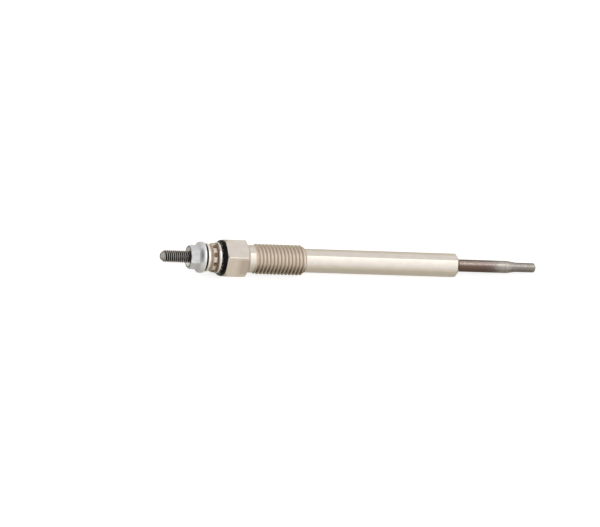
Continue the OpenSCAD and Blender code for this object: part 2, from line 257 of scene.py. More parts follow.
class Finishes(bpy.types.PropertyGroup):
    """Colours of the finishes."""

    nickel: tint("Nickel", (0.66, 0.605, 0.545), "Plating of the shell")
    nickel_stain: tint("Stained nickel", (0.48, 0.42, 0.365), "Faint stain on one flat of the hexagon")
    nickel_dull: tint("Dull nickel", (0.63, 0.575, 0.515), "Plating where it is a little duller")
    thread_tone: tint("Thread", (0.58, 0.512, 0.44), "Plating on the thread's crests and flanks")
    # Painted light: the thread's roots get a paler plating than its crests, to offset the shade that falls
    # deep in the thread
    root_lightened: tint("Thread root", (0.66, 0.575, 0.49), "Plating deep in the thread")
    # Painted shade: a dark brown in the thread's roots on one side
    root_shade: tint("Shadowed", (0.13, 0.08, 0.045), "Old grease in the thread's roots, on one side")
    zinc: tint("Zinc", (0.67, 0.67, 0.68), "Plating of the terminal nut")
    zinc_dull: tint("Dull zinc", (0.62, 0.62, 0.63), "Duller plating of the terminal nut")
    # Painted highlight: paler zinc in the countersink and beside the nut's foot
    zinc_highlight: tint("Bright zinc", (0.83, 0.83, 0.84), "Bright plating in the countersink and on the rim")
    # Painted shade of the nut: dark in its bore, at the countersink's rim, at its foot and on the flange's
    # slope
    zinc_shade: tint("Shaded zinc", (0.1, 0.1, 0.105), "Plating deep in the countersink")
    steel: tint("Steel", (0.62, 0.595, 0.57), "Crests of the stud's thread")
    steel_dull: tint("Dull steel", (0.45, 0.425, 0.4), "Duller crests of the stud's thread")
    # Darker in the stud's roots, and painted shadow where the stud goes into the nut
    steel_root_and_shadow: tint("Darkened steel", (0.03, 0.027, 0.025), "Roots of the stud's thread")
    steel_point: tint("Stud point", (0.2, 0.19, 0.18), "Bare point of the stud")
    crimped: tint("Crimped nickel", (0.6, 0.515, 0.435), "Plating of the round nut")
    # Painted highlight on the contact ring's rim
    ring_highlight: tint("Bright ring", (0.8, 0.745, 0.68), "Plating of the contact ring's rim")
    # Painted shade in the crimp marks and on the bead's side towards the washer
    crimp_shade: tint("Mark brown", (0.16, 0.108, 0.076), "Plating in the crimp marks and the groove")
    washer: tint("Washer", (0.74, 0.7, 0.65), "Plating of the washer")
    washer_dull: tint("Dull washer", (0.66, 0.62, 0.57), "Duller plating of the washer")
    # Painted highlight: what the paler streak along the tube adds to its tint
    rubbed_and_highlight: tint("Highlight tint", (0.258, 0.234, 0.211), "What the rubbed streak adds to the tube's tint")
    black: tint("Black", (0.003, 0.003, 0.003), "Moulded bush")
    black_worn: tint("Worn black", (0.006, 0.006, 0.006), "Bush where it is rubbed")
    # Painted glints: the colour of pale specks on the bush's rim
    black_glint: tint("Glinting black", (0.3, 0.28, 0.265), "Glints on the bush's rounded rim")
    rubber: tint("Rubber", (0.02, 0.02, 0.02), "Seals")
    magnesia: tint("Magnesia", (0.72, 0.7, 0.65), "Pressed powder")
    wire: tint("Wire", (0.34, 0.31, 0.28), "Coils")


class StudioSettings(bpy.types.PropertyGroup):
    """Camera, light and floor."""

    azimuth: turn("Azimuth", -19.239, "Direction of the camera around the plug")
    elevation: turn("Elevation", 2.789, "Height of the camera's view, before its lift")
    roll: turn("Roll", 2.803, "Turn of the camera around its view")
    distance: length("Distance", 2.1856, "Distance of the camera")
    lens: bpy.props.FloatProperty(
        name="Lens", description="Focal length of the camera", default=400, unit="CAMERA"
    )
    target_x: length("Target", 0.008254, "Point of the axis that the camera looks at")
    target_z: length("Target height", -0.00102, "Height of that point")
    lift: turn("Lift", 56.3, "Turn of the whole view up around the axis, nearly to the next corner")
    floor_colour: tint("Floor", (0.74, 0.7, 0.62), "Pale floor")
    floor_paler: level("Floor clouds", 1.02, "How much paler the floor's clouds are", 2.0)
    floor_tint: tint("Mirrored tint", (1.0, 1.0, 0.88), "Colour of the floor's glow in metal")
    floor_balance: tint("Floor balance", (0.94, 0.96, 1.0), "Colour of the glow that makes it neutral")
    floor_glow: level("Floor glow", 0.74, "White that the floor shows besides the light that falls on it")
    # Painted shadow: metal mirrors a dimmer floor close beside the plug
    floor_mirror_shadow: level("Mirrored glow", 0.15, "What of that white metal mirrors near the plug")
    floor_mirror_far: level("Far mirrored glow", 0.33, "What of that white it mirrors further away")
    floor_mirror_end: level("End mirrored glow", 0.9, "What of that white it mirrors beyond the stud's end")
    floor_fade: length("Mirror fade", 0.06, "Distance from the plug at which the far values are reached")
    floor_r: length("Floor radius", 0.19, "Radius of the round floor")
    floor_gap: length("Floor gap", 0.00002, "Distance of the floor under the points that rest on it")
    sky: level("Surroundings", 0.5, "Strength of the light from the white surroundings")
    sky_mirrored: level("Mirrored surroundings", 1.04, "Brightness of the surroundings in metal", 2.0)
    horizon: tint("Horizon", (0.9, 0.845, 0.76), "What metal mirrors of the surroundings near the floor")
    horizon_reach: turn("Horizon reach", 25, "Angle above the floor at which the surroundings are white")
    panel_distance: length("Panel distance", 0.7, "Distance of the light panel")
    panel_w: length("Panel width", 1.6, "Width of the light panel along the plug")
    panel_x: length("Panel place", 0.26, "Place of the panel's middle along the plug")
    panel_front: turn("Panel front", 0, "Angle at which the plug sees the panel's front edge")
    panel_back: turn("Panel back", 106.5, "Angle at which the plug sees the panel's back edge")
    panel_level: level("Panel level", 0.58, "Brightness of the panel at its back, where 1 is white", 10.0)
    fade_from: level("Fade start", 0.14, "Share of the panel, from its front, at which it begins to shine")
    fade_to: level("Fade end", 0.82, "Share of the panel at which it shines fully")
    core_level: level("Core level", 1.0, "Added brightness along the panel's back edge", 10.0)
    core_fade: level("Core fade", 16.0, "Power by which that brightness fades out", 30.0)


GROUPS = {
    "plug_shell": ShellSizes,
    "plug_terminal": TerminalSizes,
    "plug_insulation": InsulationSizes,
    "plug_tube": TubeSizes,
    "plug_finish": Finishes,
    "plug_studio": StudioSettings,
}


class Wiring:
    """Adds nodes to a tree and wires them up."""

    def __init__(self, tree):
        self.tree = tree

    def add(self, kind, inputs=None, **settings):
        """A new node, with its settings and its inputs set or linked."""
        made = self.tree.nodes.new(kind)
        for name, value in settings.items():
            setattr(made, name, value)
        for socket, value in (inputs or {}).items():
            self.feed(made.inputs[socket], value)
        return made

    def feed(self, socket, value):
        """Links an output to a socket, or sets a plain value on it."""
        if isinstance(value, bpy.types.NodeSocket):
            self.tree.links.new(value, socket)
        else:
            socket.default_value = value

    def math(self, operation, *values):
        """The result of a sum on numbers."""
        return self.add("ShaderNodeMath", dict(enumerate(values)), operation=operation).outputs[0]

    def chain(self, operation, first, *others):
        """The result of a sum that takes in one number after the other."""
        for other in others:
            first = self.math(operation, first, other)
        return first

    def scaled(self, vector, scale):
        """A vector times a number."""
        inputs = {"Vector": vector, "Scale": scale}
        return self.add("ShaderNodeVectorMath", inputs, operation="SCALE").outputs["Vector"]

    def vector(self, operation, *values, result="Vector"):
        """The result of a sum on vectors."""
        return self.add("ShaderNodeVectorMath", dict(enumerate(values)), operation=operation).outputs[result]

    def span(self, value, low, high, to_low=0.0, to_high=1.0, kind="LINEAR"):
        """A value taken from one span to another, and held at its ends."""
        inputs = {"Value": value, "From Min": low, "From Max": high, "To Min": to_low, "To Max": to_high}
        return self.add("ShaderNodeMapRange", inputs, interpolation_type=kind).outputs["Result"]

    def blend(self, share, first, second):
        """A colour between two colours."""
        made = self.add("ShaderNodeMix", data_type="RGBA")
        sockets = {s.identifier: s for s in made.inputs}
        self.feed(sockets["Factor_Float"], share)
        self.feed(sockets["A_Color"], first)
        self.feed(sockets["B_Color"], second)
        return next(s for s in made.outputs if s.identifier == "Result_Color")


def opaque(colour):
    """A colour with full alpha, as a node's socket wants it."""
    return (*colour, 1.0)


def helical_thread_tree():
    """Geometry nodes for an outside thread along X: rows of a grid that follow the helix."""
    tree = bpy.data.node_groups.new("Helical thread", "GeometryNodeTree")
    numbers = (
        "Start", "End", "Start Radius", "Crest Radius", "Root Radius", "End Radius",
        "Lead Length", "Fade Length", "Run-out Length", "Pitch",
    )
    for name in numbers:
        tree.interface.new_socket(name, in_out="INPUT", socket_type="NodeSocketFloat")
    for name in ("Columns", "Rows per Turn"):
        tree.interface.new_socket(name, in_out="INPUT", socket_type="NodeSocketInt")
    tree.interface.new_socket("Material", in_out="INPUT", socket_type="NodeSocketMaterial")
    tree.interface.new_socket("Mesh", in_out="OUTPUT", socket_type="NodeSocketGeometry")
    w = Wiring(tree)
    given = w.add("NodeGroupInput").outputs
    start, end, pitch = given["Start"], given["End"], given["Pitch"]

    turns = w.math("ADD", w.math("DIVIDE", w.math("SUBTRACT", end, start), pitch), 1.0)
    rows = w.math("CEIL", w.math("MULTIPLY", turns, given["Rows per Turn"]))
    grid = w.add("GeometryNodeMeshGrid", {
        "Size X": 1.0,
        "Size Y": 1.0,
        "Vertices X": w.math("ADD", given["Columns"], 1.0),
        "Vertices Y": w.math("ADD", rows, 1.0),
    })
    # The grid reaches half a unit to each side of its middle
    place = w.add("ShaderNodeSeparateXYZ", {0: w.add("GeometryNodeInputPosition").outputs[0]}).outputs
    around = w.math("ADD", place["X"], 0.5)
    row = w.math("ROUND", w.math("MULTIPLY", w.math("ADD", place["Y"], 0.5), rows))
    row_turn = w.math("DIVIDE", row, given["Rows per Turn"])

    # Place along the axis, held between the two ends so that the mesh ends in round loops
    steps = w.math("SUBTRACT", w.math("ADD", row_turn, around), 1.0)
    along = w.math("ADD", start, w.math("MULTIPLY", steps, pitch))
    along = w.math("MINIMUM", w.math("MAXIMUM", along, start), end)

    # Height in the thread, from the root to the crest
    phase = w.math("FRACT", row_turn)
    from_crest = w.math("MINIMUM", phase, w.math("SUBTRACT", 1.0, phase))
    radius = w.span(from_crest, ROOT_EDGE, CREST_EDGE, given["Root Radius"], given["Crest Radius"])

    # The thread rises out of the start, and the lead cone cuts its crests at the end
    left = w.math("SUBTRACT", end, along)
    cone = w.span(left, 0.0, given["Lead Length"], given["End Radius"], given["Crest Radius"])
    radius = w.math("MINIMUM", radius, cone)
    fade = w.span(w.math("SUBTRACT", along, start), 0.0, given["Fade Length"], kind="SMOOTHSTEP")
    rise = w.math("SUBTRACT", radius, given["Start Radius"])
    radius = w.math("MULTIPLY_ADD", rise, fade, given["Start Radius"])
    run_out = w.span(left, 0.0, given["Run-out Length"], kind="SMOOTHSTEP")
    radius = w.math("MULTIPLY_ADD", w.math("SUBTRACT", radius, cone), run_out, cone)

    angle = w.math("MULTIPLY", around, FULL_TURN)
    point = w.add("ShaderNodeCombineXYZ", {
        "X": along,
        "Y": w.math("MULTIPLY", radius, w.math("COSINE", angle)),
        "Z": w.math("MULTIPLY", radius, w.math("SINE", angle)),
    })
    wound = w.add("GeometryNodeSetPosition", {
        "Geometry": grid.outputs["Mesh"],
        "Position": point.outputs[0],
    })
    welded = w.add("GeometryNodeMergeByDistance", {"Geometry": wound.outputs[0], "Distance": WELD})
    real = w.add("GeometryNodeRealizeInstances", {"Geometry": welded.outputs[0]})
    painted = w.add("GeometryNodeSetMaterial", {"Geometry": real.outputs[0], "Material": given["Material"]})
    w.add("NodeGroupOutput", {0: painted.outputs[0]})
    return tree


def crimp_tree():
    """Geometry nodes that press a ring of round marks into the round nut."""
    tree = bpy.data.node_groups.new("Crimp marks", "GeometryNodeTree")
    tree.interface.new_socket("Mesh", in_out="INPUT", socket_type="NodeSocketGeometry")
    tree.interface.new_socket("Count", in_out="INPUT", socket_type="NodeSocketInt")
    for name in ("Place", "Ring Radius", "Mark Radius", "Mark Depth"):
        tree.interface.new_socket(name, in_out="INPUT", socket_type="NodeSocketFloat")
    tree.interface.new_socket("Material", in_out="INPUT", socket_type="NodeSocketMaterial")
    tree.interface.new_socket("Mesh", in_out="OUTPUT", socket_type="NodeSocketGeometry")
    w = Wiring(tree)
    given = w.add("NodeGroupInput").outputs

    # The middles of the punches stand in a ring around the nut, half a step from its top
    ring = w.add("GeometryNodeMeshCircle", {"Vertices": given["Count"], "Radius": given["Ring Radius"]})
    half_step = w.math("DIVIDE", math.pi, given["Count"])
    stepped = w.add("GeometryNodeTransform", {
        "Geometry": ring.outputs[0],
        "Rotation": w.add("ShaderNodeCombineXYZ", {"Z": half_step}).outputs[0],
    })
    upright = w.add("GeometryNodeTransform", {
        "Geometry": stepped.outputs[0],
        "Translation": w.add("ShaderNodeCombineXYZ", {"X": given["Place"]}).outputs[0],
        "Rotation": (0.0, -math.pi / 2, 0.0),
    })
    nearest = w.add(
        "GeometryNodeProximity", {"Geometry": upright.outputs[0]}, target_element="POINTS"
    ).outputs

    # Points inside a punch move out to its surface, and carry how deep they were inside it
    away = w.vector("SUBTRACT", w.add("GeometryNodeInputPosition").outputs[0], nearest["Position"])
    reach = w.scaled(w.vector("NORMALIZE", away), given["Mark Radius"])
    depth = w.math("SUBTRACT", given["Mark Radius"], nearest["Distance"])
    marked = w.add("GeometryNodeStoreNamedAttribute", {
        "Geometry": given["Mesh"],
        "Name": "mark",
        "Value": w.span(depth, 0.0, w.math("MULTIPLY", given["Mark Depth"], FULL_MARK)),
    }, domain="POINT", data_type="FLOAT")
    pressed = w.add("GeometryNodeSetPosition", {
        "Geometry": marked.outputs[0],
        "Selection": w.math("LESS_THAN", nearest["Distance"], given["Mark Radius"]),
        "Position": w.vector("ADD", nearest["Position"], reach),
    })
    real = w.add("GeometryNodeRealizeInstances", {"Geometry": pressed.outputs[0]})
    painted = w.add("GeometryNodeSetMaterial", {"Geometry": real.outputs[0], "Material": given["Material"]})
    w.add("NodeGroupOutput", {0: painted.outputs[0]})
    return tree


def grown_mesh(tree, values, mesh):
    """The plain mesh that a geometry nodes tree makes of a mesh, with the tree's inputs set by name."""
    carrier = bpy.data.objects.new(tree.name, mesh)
    bpy.context.scene.collection.objects.link(carrier)
    modifier = carrier.modifiers.new(tree.name, "NODES")
    modifier.node_group = tree
    for item in tree.interface.items_tree:
        if item.in_out == "INPUT" and item.name in values:
            modifier[item.identifier] = values[item.name]
    shape = carrier.evaluated_get(bpy.context.evaluated_depsgraph_get())
    made = bpy.data.meshes.new_from_object(shape)
    carrier.modifiers.remove(modifier)
    bpy.data.objects.remove(carrier)
    bpy.data.node_groups.remove(tree)
    return made


def angles(columns):
    """The angles of a piece's columns, from +Y towards +Z."""
    return np.arange(columns) * FULL_TURN / columns


def six_sided(columns, width, first_corner):
    """Radius of a hexagon at each column, for its width across the flats."""
    off_flat = (angles(columns) - first_corner) % FLAT_STEP - FLAT_STEP / 2
    return width / 2 / np.cos(off_flat)


def outline_rings(rows, columns):
    """Rings of a turned outline of (x, radius, cut). A corner with a cut is rounded off by that much."""
    sharp = [np.stack(np.broadcast_arrays(x, r, np.zeros(columns))[:2], axis=-1) for x, r, _ in rows]
    rings = []
    for k, (_, _, cut) in enumerate(rows):
        here = sharp[k]
        if not cut:
            rings.append(here)
            continue
        ends = []
        for other in (sharp[k - 1], sharp[(k + 1) % len(rows)]):
            way = other - here
            reach = np.linalg.norm(way, axis=1, keepdims=True)
            ends.append(here + way * np.minimum(cut / reach, CORNER_SHARE))
        for t in np.linspace(0, 1, CORNER_POINTS):
            rings.append((1 - t) ** 2 * ends[0] + 2 * t * (1 - t) * here + t * t * ends[1])
    return rings


def add_rings(bm, rings, closed):
    """Adds the rings to a mesh and the faces between them. A closed outline joins the last to the first."""
    columns = len(rings[0])
    turned = angles(columns)
    loops = []
    for ring in rings:
        x, r = ring[:, 0], ring[:, 1]
        places = np.stack([x, r * np.cos(turned), r * np.sin(turned)], axis=-1)
        loops.append([bm.verts.new(p) for p in places])
    pairs = list(zip(loops, loops[1:]))
    if closed:
        pairs.append((loops[-1], loops[0]))
    for a, b in pairs:
        for i in range(columns):
            j = (i + 1) % columns
            bm.faces.new((a[i], a[j], b[j], b[i]))


def weld(bm):
    """Merges doubled points and turns the faces of the closed mesh outwards."""
    bmesh.ops.remove_doubles(bm, verts=bm.verts, dist=WELD)
    bmesh.ops.dissolve_degenerate(bm, edges=bm.edges, dist=SLIVER)
    bmesh.ops.recalc_face_normals(bm, faces=bm.faces)


def round_corners(bm, least_r, cut):
    """Rounds off the long edges between flats that lie outside a radius."""
    sharp = []
    for edge in bm.edges:
        a, b = (v.co for v in edge.verts)
        outside = min(math.hypot(a.y, a.z), math.hypot(b.y, b.z)) > least_r
        along = abs(a.x - b.x) > abs(a.y - b.y) + abs(a.z - b.z)
        if outside and along and edge.is_manifold and edge.calc_face_angle() > FLAT_TURN:
            sharp.append(edge)
    bmesh.ops.bevel(
        bm, geom=sharp, offset=cut, affect="EDGES", clamp_overlap=True,
        segments=FLAT_ROWS, profile=FLAT_PROFILE,
    )


def trim_to_flats(bm, reach):
    """Moves points that the rounding has pushed out of the shell's hexagon back to its flats."""
    for k in range(FLATS):
        angle = (k + 0.5) * FLAT_STEP
        out = Vector((0.0, math.cos(angle), math.sin(angle)))
        for v in bm.verts:
            v.co -= max(0.0, v.co.dot(out) - reach) * out


def check_closed(bm, name):
    """Stops the script if a mesh has an open or doubled edge."""
    loose = [e for e in bm.edges if len(e.link_faces) != 2]
    if loose:
        raise RuntimeError(f"{name} has {len(loose)} open edges")


def finished_piece(name, bm, material, node):
    """A piece of the plug from its mesh: smooth, with sharp edges, in place of its solid."""
    check_closed(bm, name)
    mesh = bpy.data.meshes.new(name)
    bm.to_mesh(mesh)
    bm.free()
    mesh.materials.clear()
    mesh.materials.append(material)
    mesh.polygons.foreach_set("material_index", [0] * len(mesh.polygons))
    mesh.polygons.foreach_set("use_smooth", [True] * len(mesh.polygons))
    mesh.set_sharp_from_angle(angle=SHARP_ANGLE)
    piece = bpy.data.objects.new(name, mesh)
    bpy.context.scene.collection.objects.link(piece)
    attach(piece, BODY)
    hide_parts(node)


def turned_piece(name, rows, columns, material, node):
    """A closed piece turned around the axis."""
    bm = bmesh.new()
    add_rings(bm, outline_rings(rows, columns), closed=True)
    weld(bm)
    finished_piece(name, bm, material, node)


class Surface:
    """A new material on the piece's own coordinates, and its shader."""

    def __init__(self, name, metallic, **sockets):
        self.material = bpy.data.materials.new(name)
        self.material.use_nodes = True
        self.w = Wiring(self.material.node_tree)
        self.shader = self.material.node_tree.nodes["Principled BSDF"]
        self.shader.inputs["Metallic"].default_value = metallic
        for socket, value in sockets.items():
            self.shader.inputs[socket.replace("_", " ")].default_value = value
        self.place = self.w.add("ShaderNodeTexCoord").outputs["Object"]

    def noise(self, per_mm, detail=3.0):
        """Noise with so many features per millimetre along X, Y and Z."""
        scale = tuple(PER_MM * n for n in per_mm)
        spot = self.w.add("ShaderNodeMapping", {"Vector": self.place, "Scale": scale}).outputs[0]
        inputs = {"Vector": spot, "Scale": 1.0, "Detail": detail}
        return self.w.add("ShaderNodeTexNoise", inputs).outputs["Fac"]

    def along(self):
        """Place along the axis, in metres."""
        return self.w.add("ShaderNodeSeparateXYZ", {0: self.place}).outputs["X"]

    def radius(self):
        """Distance from the axis, in metres."""
        flat = self.w.vector("MULTIPLY", self.place, (0.0, 1.0, 1.0))
        return self.w.vector("LENGTH", flat, result="Value")

    def facing(self, angle):
        """How far the place lies to one side of the axis, from -1 to 1."""
        flat = self.w.vector("NORMALIZE", self.w.vector("MULTIPLY", self.place, (0.0, 1.0, 1.0)))
        side = (0.0, math.cos(angle), math.sin(angle))
        return self.w.vector("DOT_PRODUCT", flat, side, result="Value")

    def inside(self, low, high):
        """One between two places on the axis, and nothing outside them."""
        x = self.along()
        past_low = self.w.math("GREATER_THAN", x, low)
        return self.w.math("MULTIPLY", past_low, self.w.math("LESS_THAN", x, high))

    def colour(self, value):
        """The colour of the metal or of the body."""
        self.w.feed(self.shader.inputs["Base Color"], value)

    def roughness(self, value):
        """The roughness, from a mirror at nothing to matt at one."""
        self.w.feed(self.shader.inputs["Roughness"], value)

    def relief(self, height, depth):
        """Fine relief of so many metres."""
        bump = self.w.add("ShaderNodeBump", {"Height": height, "Distance": depth})
        self.w.feed(self.shader.inputs["Normal"], bump.outputs[0])


def plated(name, bright, dull, gloss, lines, depth):
    """A plated metal with clouds of two tints, and with turning lines in its gloss and relief."""
    surface = Surface(name, metallic=1.0)
    clouds = surface.w.span(surface.noise(CLOUD_SCALE), *CLOUDS)
    tones = surface.w.blend(clouds, opaque(bright), opaque(dull))
    scratches = surface.noise(lines, detail=4.0)
    shine = surface.w.span(scratches, *GRAIN, *gloss)
    surface.roughness(shine)
    surface.relief(scratches, depth)
    return surface, tones, shine


class PieceOperator:
    """What the operators of the pieces share."""

    bl_options = {"REGISTER", "UNDO"}


class GLOWPLUG_OT_shell(PieceOperator, bpy.types.Operator):
    """Builds the plated shell, with hexagon, neck, helical head thread, barrel and seat cone"""

    bl_idname = "glow_plug.shell"
    bl_label = "Plated shell"

    def execute(self, context):
        size, look = context.scene.plug_shell, context.scene.plug_finish
        surface, tones, gloss = plated(
            "nickel plate", look.nickel, look.nickel_dull,
            gloss=(0.1, 0.18), lines=(5.0, 0.4, 0.4), depth=2e-6,
        )
        w = surface.w
        root_r, crest_r = size.thread_root_d / 2, size.thread_d / 2
        depth_in_thread = w.span(surface.radius(), crest_r, root_r)
        in_thread = surface.inside(size.thread_x, size.barrel_x)
        # Painted light: paler towards the roots, to offset the shade deep in the thread
        threaded = w.blend(depth_in_thread, opaque(look.thread_tone), opaque(look.root_lightened))
        # Painted shade: on one side, the roots darken towards a dark brown
        shaded_side = surface.facing(size.root_shade_turn)
        root_shaded = w.span(shaded_side, math.cos(size.root_shade_reach), math.cos(size.root_shade_core))
        threaded = w.blend(w.math("MULTIPLY", root_shaded, depth_in_thread), threaded, opaque(look.root_shade))
        tones = w.blend(self.darkening(surface, size), tones, opaque(look.nickel_stain))
        surface.colour(w.blend(in_thread, tones, threaded))
        surface.roughness(w.math("MULTIPLY_ADD", in_thread, size.thread_dulling, gloss))

        bm = bmesh.new()
        self.add_plain_parts(bm, size)
        thread = grown_mesh(helical_thread_tree(), {
            "Start": size.thread_x,
            "End": size.barrel_x,
            "Start Radius": size.neck_d / 2,
            "Crest Radius": crest_r,
            "Root Radius": root_r,
            "End Radius": size.lead_d / 2,
            "Lead Length": size.barrel_x - size.lead_x,
            "Fade Length": size.thread_fade,
            "Run-out Length": WELD,
            "Pitch": size.thread_pitch,
            "Columns": size.columns,
            "Rows per Turn": THREAD_ROWS,
            "Material": surface.material,
        }, bpy.data.meshes.new("shell thread"))
        bm.from_mesh(thread)
        weld(bm)
        finished_piece("plated_shell", bm, surface.material, "body_shell")
        return {"FINISHED"}

    def darkening(self, surface, size):
        """Strength of the faint stain on one flat of the hexagon."""
        w, along = surface.w, surface.along()
        side = surface.facing(size.stain_turn)
        on_flat = w.span(side, math.cos(FLAT_STEP / 2), math.cos(size.stain_core))
        thicker = w.span(along, size.stain_x, size.stain_full_x, size.stain_least, 1.0)
        return w.chain("MULTIPLY", on_flat, thicker, w.math("LESS_THAN", along, size.neck_x))

    def add_plain_parts(self, bm, size):
        """Everything but the thread, from the thread's small end round through the bore to the neck."""
        low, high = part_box("body_shell")
        across = high.z - low.z
        flats = six_sided(size.columns, across, 0.0)
        rim_r = across / 2 - size.rim_inset
        neck_r, barrel_r, bore_r = size.neck_d / 2, size.barrel_d / 2, size.bore_d / 2
        tube_r, counterbore_r = size.tube_bore_d / 2, size.counterbore_d / 2
        tube_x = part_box("glow_tube")[0].x
        edge = size.edge
        rows = [(size.barrel_x, size.lead_d / 2, 0), (size.barrel_x, barrel_r, 0)]
        for x in np.linspace(size.barrel_x, size.seat_x, size.barrel_rows + 1)[1:-1]:
            rows.append((x, barrel_r, 0))
        rows += [
            (size.seat_x, barrel_r, edge),
            (high.x, size.seat_d / 2, edge),
            (high.x, tube_r, 0),
            (tube_x, tube_r, 0),
            (tube_x, bore_r, 0),
            (size.counterbore_x, bore_r, 0),
            (size.counterbore_x, counterbore_r, 0),
            (low.x, counterbore_r, 0),
            (low.x, rim_r, edge),
            (low.x + (flats - rim_r) * math.tan(size.chamfer_angle), flats, edge),
            (size.neck_x - (flats - neck_r) / math.tan(size.shoulder_angle), flats, edge),
            (size.neck_x, neck_r, edge),
            (size.thread_x, neck_r, 0),
        ]
        add_rings(bm, outline_rings(rows, size.columns), closed=False)
        bmesh.ops.remove_doubles(bm, verts=bm.verts, dist=WELD)
        round_corners(bm, across / 2 + edge, edge)
        trim_to_flats(bm, across / 2)


class GLOWPLUG_OT_stud(PieceOperator, bpy.types.Operator):
    """Builds the terminal stud with its helical thread, rod and pole"""

    bl_idname = "glow_plug.stud"
    bl_label = "Terminal stud"

    # Features per millimetre of the mottle on the point, and the span of the noise in which it changes
    MOTTLE_SCALE = (2.0, 2.0, 2.0)
    MOTTLE = (0.35, 0.75)

    def execute(self, context):
        size, look = context.scene.plug_terminal, context.scene.plug_finish
        low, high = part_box("terminal_stud")
        crest_r, root_r, point_r = size.stud_d / 2, size.stud_root_d / 2, size.point_d / 2
        slope = (crest_r - point_r) / size.point_l
        # The thread's outer end, where the point is as thin as the roots
        end_x = low.x + (root_r - point_r) / slope

        surface, tones, _ = plated(
            "dark steel", look.steel, look.steel_dull,
            gloss=(0.3, 0.45), lines=(3.0, 1.5, 1.5), depth=4e-6,
        )
        w = surface.w
        third = (crest_r - root_r) / 3
        depth_in_thread = w.span(surface.radius(), crest_r - third / 2, root_r + third)
        rooted = w.blend(depth_in_thread, tones, opaque(look.steel_root_and_shadow))
        on_point = w.span(surface.along(), end_x + size.stud_pitch, end_x)
        mottle = w.span(surface.noise(self.MOTTLE_SCALE), *self.MOTTLE)
        mottled = w.blend(mottle, opaque(look.steel_point), tones)
        nut_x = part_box("terminal_nut")[0].x
        # Painted shadow: the thread is dark where it goes into the nut
        nut_shadow = w.span(surface.along(), nut_x - size.stud_pitch, nut_x + size.stud_pitch)
        bare = w.blend(on_point, rooted, mottled)
        surface.colour(w.blend(nut_shadow, bare, opaque(look.steel_root_and_shadow)))

        thread = grown_mesh(helical_thread_tree(), {
            "Start": -size.thread_end_x,
            "End": -end_x,
            "Start Radius": crest_r,
            "Crest Radius": crest_r,
            "Root Radius": root_r,
            "End Radius": root_r,
            "Lead Length": (crest_r - root_r) / slope,
            "Fade Length": size.stud_pitch,
            "Run-out Length": size.stud_pitch,
            "Pitch": size.stud_pitch,
            "Columns": size.stud_columns,
            "Rows per Turn": THREAD_ROWS,
            "Material": surface.material,
        }, bpy.data.meshes.new("stud thread"))
        # A half turn points the thread to the terminal end and keeps it right-handed
        thread.transform(Matrix.Rotation(math.pi, 4, "Z"))

        rod_r, pole_r, pin_r = size.rod_d / 2, size.pole_d / 2, size.pin_d / 2
        rows = [
            (size.thread_end_x, crest_r, 0),
            (size.shank_end_x, crest_r, 0),
            (size.shank_end_x + crest_r - rod_r, rod_r, 0),
            (size.pole_x - (rod_r - pole_r), rod_r, 0),
            (size.pole_x, pole_r, 0),
            (size.pole_end_x, pole_r, 0),
            (size.pole_end_x, pin_r, 0),
            (high.x, pin_r, 0),
            (high.x, 0.0, 0),
            (low.x, 0.0, 0),
            (low.x, point_r, size.point_edge),
            (end_x, root_r, 0),
        ]
        bm = bmesh.new()
        rings = outline_rings(rows, size.stud_columns)
        inner = rows.index((high.x, 0.0, 0)) + 1
        add_rings(bm, rings[:inner], closed=False)
        add_rings(bm, rings[inner:], closed=False)
        bm.from_mesh(thread)
        weld(bm)
        finished_piece("threaded_stud", bm, surface.material, "terminal_stud")
        return {"FINISHED"}


